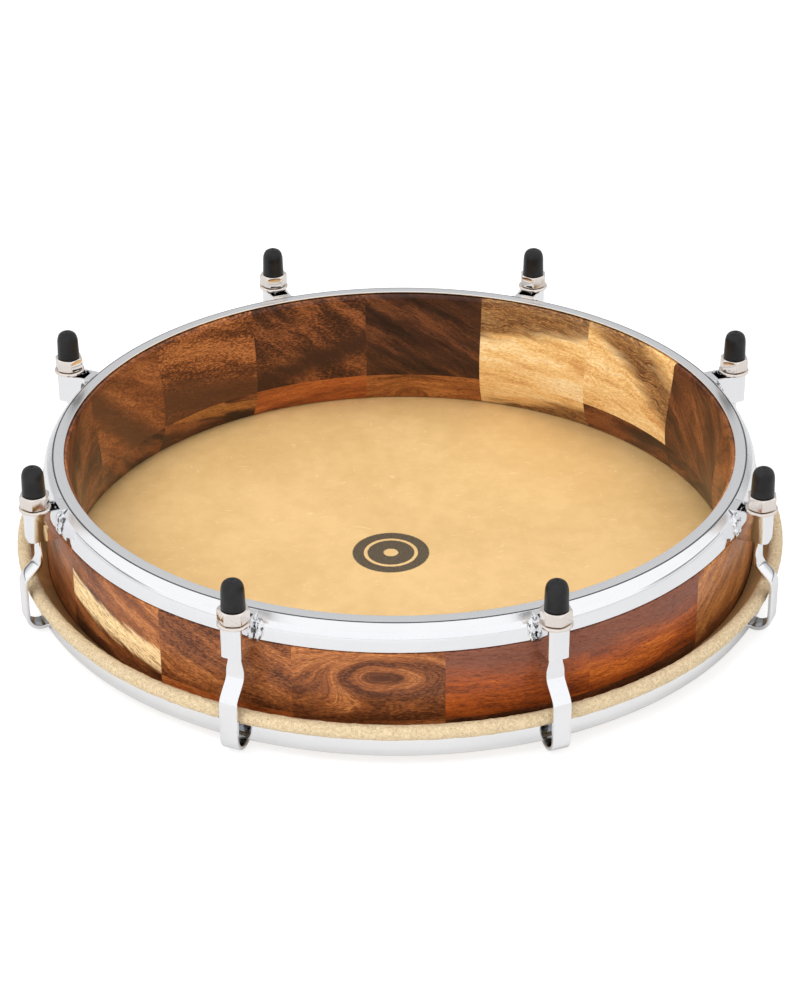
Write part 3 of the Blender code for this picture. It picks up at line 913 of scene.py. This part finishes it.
def make_hook(bright, curl_shade):
    """Bolt end turned as a threaded rod and welded to its strip; the inside of the curl wears darker chrome
    as painted shade.
    """
    rod = [(0.0, 48.0), (1.6, 48.2), (3.0, 49.2), (3.75, 50.6), (3.95, 51.8), (3.95, 66.0)]
    height = THREAD_FOOT
    while height < THREAD_END:
        rod += [(BOLT_RADIUS, height), (THREAD_ROOT, height + 0.45)]
        rod += [(THREAD_ROOT, height + 0.62), (BOLT_RADIUS, height + 1.05)]
        height += THREAD_PITCH
    rod += [(BOLT_RADIUS, 83.1), (3.3, 83.8), (0.0, 83.8)]
    hook = turned("tuner_hook", rod, 40, closed=False, smooth_deg=35.0)
    carve(hook, bend_strip(), "UNION")
    shade(hook, 38.0)
    wear(hook, bright, curl_shade)
    # Faces near the curl's centre get the darker chrome: painted shade inside the curl
    for face in hook.data.polygons:
        from_curl = math.hypot(face.center.x / MM - CURL_CENTRE[0], face.center.z / MM - CURL_CENTRE[1])
        face.material_index = int(from_curl < CURL_INSIDE)
    return hook


def strap_prism(name, inner, half_width, corner, low, high):
    """A block of this width from inner outwards, with its two outer corners rounded."""
    centre = half_width - corner
    outline = [(inner, -half_width), *arc((centre, -centre), corner, -90.0, 0.0, 10)]
    outline += [*arc((centre, centre), corner, 0.0, 90.0, 10), (inner, half_width)]
    piece = draw_line(name, [Vector((x, y, low)) * MM for x, y in dict.fromkeys(outline)])
    bpy.ops.mesh.select_all(action="SELECT")
    bpy.ops.mesh.edge_face_add()
    bpy.ops.mesh.extrude_region_move(TRANSFORM_OT_translate={"value": (0.0, 0.0, (high - low) * MM)})
    close_skin(piece, 30.0)
    return piece


def make_lug():
    """Strap bent round the bolt, with a solid tab against the flange, fitted to the back ring."""
    lug = strap_prism("tuner_lug", 170.0 - BOLT_CIRCLE, LUG_HALF_WIDTH, 2.6, 51.1, 66.5)
    carve(lug, strap_prism("lug_slot", 176.4 - BOLT_CIRCLE, LUG_BORE, LUG_BORE, 45.0, 75.0))
    band = [(150.0, 40.0), (178.5, 40.0), (178.5, 53.9), (177.9, 53.9), (177.7, 57.0), (177.1, 60.5)]
    band += [(175.9, 63.4), (174.4, 65.4), (173.3, 66.3), (172.7, 66.6), (172.7, 80.0), (150.0, 80.0)]
    cutter = turned("lug_fit", band, 256)
    cutter.data.transform(Matrix.Translation((-BOLT_CIRCLE * MM, 0.0, 0.0)))
    carve(lug, cutter)
    soften_edges(lug, 0.4, 3, 40.0)
    shade(lug, 36.0)
    return lug


def make_weld():
    """Two rough beads that join the strap to the ring."""
    beads = []
    out, aside, up = BEAD_PLACE
    for side in (-1.0, 1.0):
        nothing_selected()
        bpy.ops.mesh.primitive_uv_sphere_add(segments=28, ring_count=56, radius=MM, location=(0.0, 0.0, 0.0))
        bead = name_piece("tuner_weld")
        bpy.ops.object.mode_set(mode="EDIT")
        bpy.ops.mesh.select_all(action="SELECT")
        bpy.ops.transform.resize(value=BEAD_SIZE, center_override=(0.0, 0.0, 0.0))
        pick_points(bead, lambda place: place.z > 0.0)
        bpy.ops.transform.resize(value=(1.0, 1.15, 0.95), center_override=(0.0, 0.0, 0.0))
        bpy.ops.object.mode_set(mode="OBJECT")
        bead.rotation_euler = (0.0, BEAD_LEAN, 0.0)
        bead.location = (out * MM, side * aside * MM, up * MM)
        shade(bead, 60.0)
        beads.append(bead)
    nothing_selected()
    for bead in beads:
        bead.select_set(True)
    bpy.context.view_layer.objects.active = beads[0]
    bpy.ops.object.join()
    weld = bpy.context.active_object
    add_lumps(weld, "weld_lumps", ((0.0030, 0.0013), (0.0012, 0.0008)), 2)
    shade(weld, 60.0)
    return weld


def set_round(first, body, node=None, turns_deg=(0.0,) * STATIONS):
    """Puts a copy of a tuner piece at every station, each with its own mesh and turn on the bolt."""
    name = first.name
    for number in range(1, STATIONS + 1):
        piece = first.copy()
        piece.data = first.data.copy()
        piece.name = f"{name}_{number}"
        piece.data.name = piece.name
        bpy.context.scene.collection.objects.link(piece)
        turn = FIRST_STATION + (number - 1) * 2.0 * math.pi / STATIONS
        seat = Matrix.Rotation(turn, 4, "Z") @ Matrix.Translation((BOLT_CIRCLE * MM, 0.0, 0.0))
        piece.data.transform(seat @ Matrix.Rotation(math.radians(turns_deg[number - 1]), 4, "Z"))
        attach(piece, body.format(number))
        if node:
            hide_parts(f"{node}_{number}")
    bpy.data.objects.remove(first, do_unlink=True)


# ---------------------------------------------------------------- studio

WALL_FRONT = 1.05
WALL_BACK = 0.63
FLOOR_SIZE = 12.0
FLOOR_GAP = 0.0002

CAMERA_PLACE = (0.0, -1.2128, 0.7298)
CAMERA_ROUND = math.radians(0.86)
CAMERA_DOWN = math.radians(29.775)
CAMERA_ROLL = math.radians(-0.358)
CAMERA_LENS = 99.67
CAMERA_SHIFT = (0.0002, -0.0093)


def light_panel(name, place, target, size, power):
    """A soft panel of light that metal doesn't mirror."""
    light = bpy.data.lights.new(name, "AREA")
    light.shape = "RECTANGLE"
    light.size, light.size_y = size
    light.energy = power
    lamp = bpy.data.objects.new(name, light)
    lamp.location = place
    lamp.visible_glossy = False
    lamp.rotation_mode = "QUATERNION"
    lamp.rotation_quaternion = (Vector(target) - Vector(place)).to_track_quat("-Z", "Y")
    bpy.context.scene.collection.objects.link(lamp)


def make_walls():
    """Soft white in front and above, grey behind with a dark edge near the floor and a dark seam."""
    world = bpy.data.worlds.new("studio_walls")
    bpy.context.scene.world = world
    world.use_nodes = True
    tree = world.node_tree
    background = tree.nodes["Background"]
    parts = split_place(tree, tree.nodes.new("ShaderNodeTexCoord").outputs["Generated"])
    back = between(tree, parts["Y"], 0.50, 0.66, WALL_FRONT, WALL_BACK)
    strip = between(tree, gap_to(tree, parts["Z"], 0.07), 0.02, 0.06, 0.70, 0.0)
    strip = sums(tree, "MULTIPLY", strip, between(tree, parts["Y"], -0.30, -0.05))
    seam = between(tree, gap_to(tree, parts["Y"], 0.42), 0.06, 0.12, 0.85, 0.0)
    aside = sums(tree, "ABSOLUTE", parts["X"])
    seam = sums(tree, "MULTIPLY", seam, between(tree, aside, 0.15, 0.40, 1.0, 0.0))
    light = sums(tree, "SUBTRACT", 1.0, sums(tree, "MAXIMUM", strip, seam))
    light = sums(tree, "MULTIPLY", back, light)
    cool = sums(tree, "MULTIPLY", light, 1.015)
    walls = put(tree, "ShaderNodeCombineColor", {0: light, 1: light, 2: cool}).outputs[0]
    seen = put(tree, "ShaderNodeLightPath").outputs["Is Camera Ray"]
    tree.links.new(blend_colours(tree, seen, walls, (1.0, 1.0, 1.0, 1.0)), background.inputs["Color"])
    background.inputs["Strength"].default_value = 1.0


def make_floor():
    """White sweep that glows faintly, and a greyer one in the metal's reflections."""
    nothing_selected()
    bpy.ops.mesh.primitive_plane_add(size=FLOOR_SIZE, location=(0.0, 0.0, -FLOOR_GAP))
    floor = name_piece("studio_floor")
    white = {"Roughness": 0.9, "Emission_Color": (1.0, 1.0, 1.0, 1.0)}
    material, tree, shader, place = new_material("pale_floor", **white)
    rays = put(tree, "ShaderNodeLightPath").outputs
    mirrored = between(tree, reach_of(tree, place), 0.20, 0.27, 0.56, 0.52)
    albedo = blend_numbers(tree, rays["Is Glossy Ray"], 0.76, mirrored)
    albedo = blend_numbers(tree, rays["Is Camera Ray"], albedo, 0.30)
    glow = blend_numbers(tree, rays["Is Camera Ray"], 0.10, 0.76)
    tree.links.new(albedo, shader.inputs["Base Color"])
    tree.links.new(glow, shader.inputs["Emission Strength"])
    wear(floor, material)


def make_studio():
    """Plain colours, the walls, three soft panels of light and the floor."""
    bpy.context.scene.view_settings.view_transform = "Standard"
    make_walls()
    light_panel("key_panel", (-0.7, -0.9, 1.5), (0.0, 0.0, 0.0), (1.0, 0.8), 14.0)
    light_panel("top_panel", (0.3, 0.5, 1.9), (0.0, 0.0, 0.0), (1.4, 1.0), 12.0)
    light_panel("low_panel", (0.0, -1.4, 0.14), (0.0, 0.0, 0.04), (1.8, 0.20), 5.0)
    make_floor()


def make_camera():
    """A long lens from the front, looking down at the drum."""
    camera_data = bpy.data.cameras.new("portrait_camera")
    camera = bpy.data.objects.new("portrait_camera", camera_data)
    bpy.context.scene.collection.objects.link(camera)
    turn = Matrix.Rotation(CAMERA_ROUND, 3, "Z")
    camera.location = turn @ Vector(CAMERA_PLACE)
    forward = turn @ Vector((0.0, math.cos(CAMERA_DOWN), -math.sin(CAMERA_DOWN)))
    camera.rotation_mode = "QUATERNION"
    roll = Quaternion((0.0, 0.0, 1.0), CAMERA_ROLL)
    camera.rotation_quaternion = forward.to_track_quat("-Z", "Y") @ roll
    camera_data.sensor_width = 36.0
    camera_data.lens = CAMERA_LENS
    camera_data.shift_x, camera_data.shift_y = CAMERA_SHIFT
    camera_data.clip_start = 0.01
    bpy.context.scene.camera = camera


# ---------------------------------------------------------------- the drum


def build():
    """Makes the camera, the studio and every piece of the drum."""
    for name in ("Cube", "Light", "Camera"):
        if name in bpy.data.objects:
            bpy.data.objects.remove(bpy.data.objects[name], do_unlink=True)
    make_camera()
    make_studio()

    place_group = block_place_group()
    figure_group = board_group()
    blocks = [block_material(i, place_group, figure_group, *BOARDS[i]) for i in range(BLOCKS)]
    marks = polish_group()
    chrome = plated_material("bright_chrome", marks)
    satin = plated_material("satin_chrome", marks)
    seam = plated_material("seam_shadow", marks)
    curl_shade = plated_material("recess_chrome", marks)
    nickel = plated_material("warm_nickel", marks)
    hide = hide_group()
    skin = skin_material(hide)
    roll = roll_material(hide)
    rubber = rubber_material()
    bead = weld_material(marks)

    shell = make_shell(blocks)
    ring = make_back_ring(chrome, satin, seam)
    hoop = make_counter_hoop()
    head = make_head(skin, roll)
    wear(hoop, chrome)
    for piece, slot, node in (
        (shell, "wood", "shell"),
        (ring, "chrome", "back_ring"),
        (hoop, "chrome", "counter_hoop"),
        (head, "skin", "drum_head"),
    ):
        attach(piece, "drum")
        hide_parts(node)
    wear(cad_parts["flesh_hoop"], nickel)

    set_round(wear(make_lug(), chrome), "drum", "lug")
    set_round(wear(make_weld(), bead), "drum")
    set_round(wear(make_washer(), nickel), "drum", "washer")
    set_round(wear(make_nut(), nickel), "nut_{}", "tuning_nut", NUT_TURNS_DEG)
    set_round(make_hook(chrome, curl_shade), "hook_{}", "hook_bolt")
    set_round(wear(make_cap(), rubber), "cap_{}", "rubber_cap")


build()
